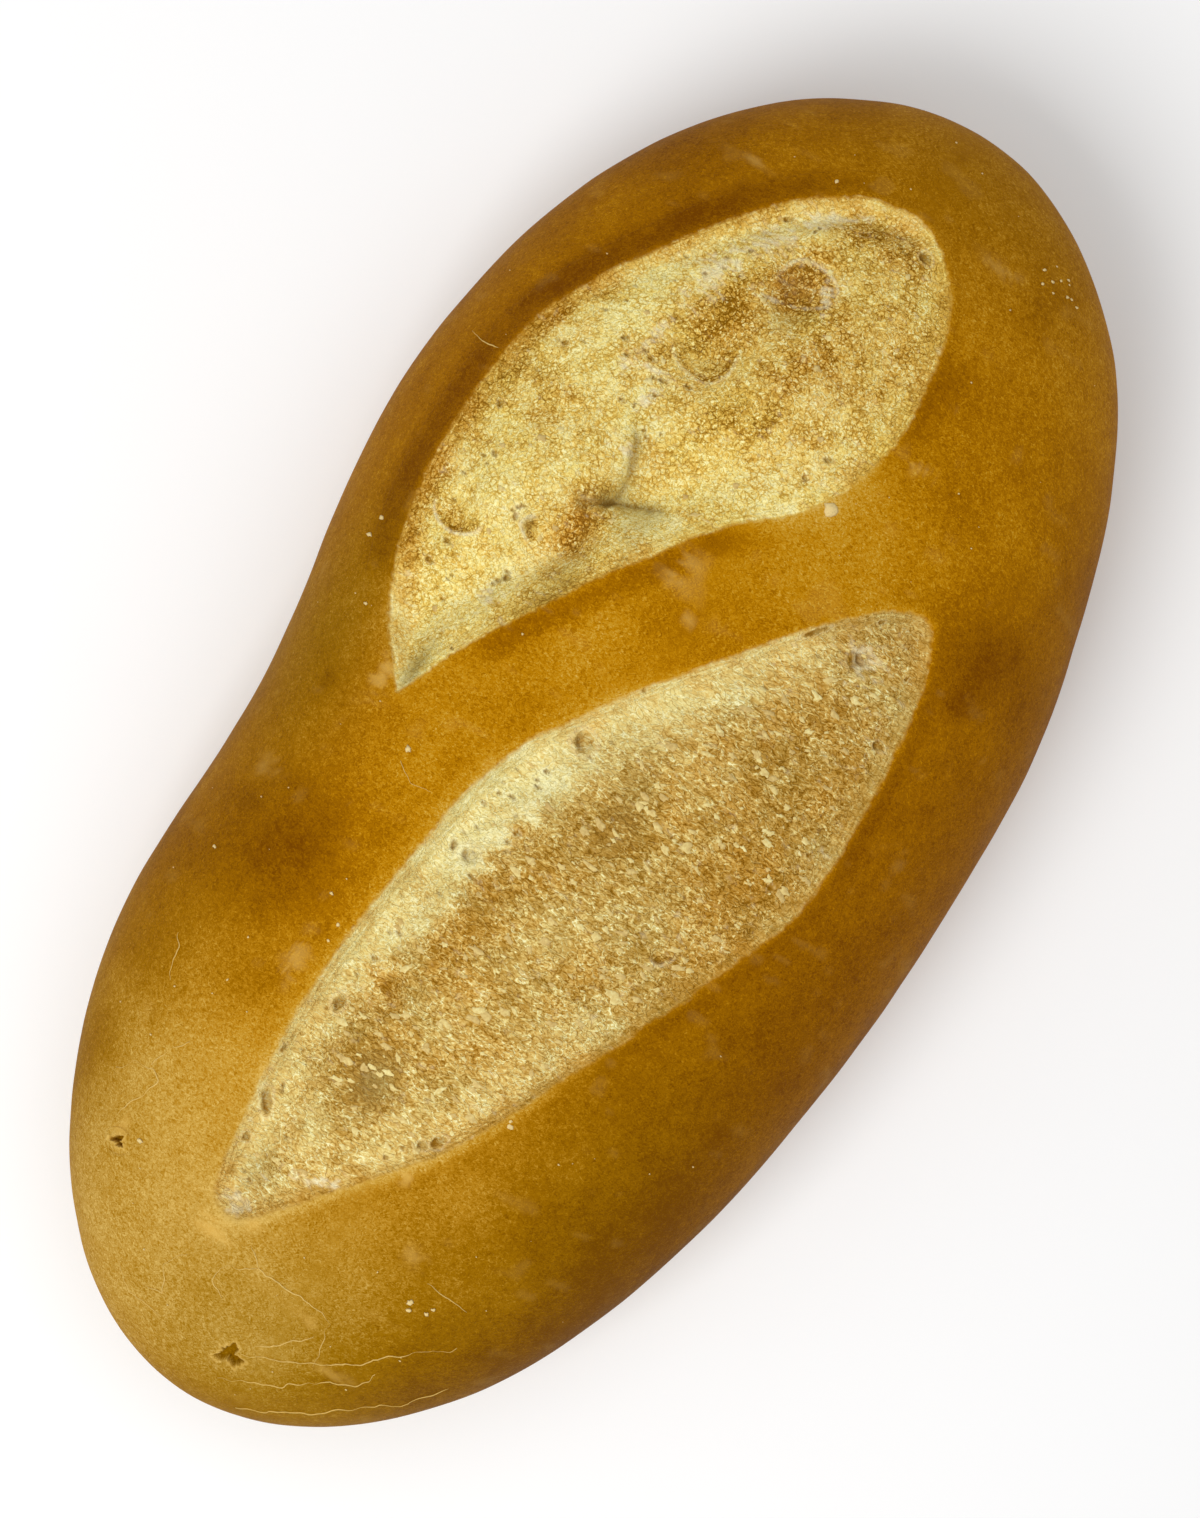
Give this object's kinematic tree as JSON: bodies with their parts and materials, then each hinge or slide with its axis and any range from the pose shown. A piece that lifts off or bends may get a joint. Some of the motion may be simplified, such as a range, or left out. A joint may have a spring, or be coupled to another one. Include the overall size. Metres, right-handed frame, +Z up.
{
  "type": "italian bread loaf",
  "caption": "Long oval crusty bread loaf with a flat base, a waist on one side and slanting slashes opened over torn crumb; rests on its base.",
  "frame": {"origin": "centre of the loaf's bounding box on the plane of its flat base", "axes": "+X along the length, towards the end with the wider slash; +Y across, towards the side with the waist; +Z up from the base"},
  "size_m": [0.3, 0.1496, 0.0817],
  "materials": {
    "crust": "satin golden-brown baked crust",
    "crumb": "matte torn crumb, cream to toasted tan"
  },
  "bodies": {
    "root": {"loaf": "crust"}
  },
  "joints": []
}
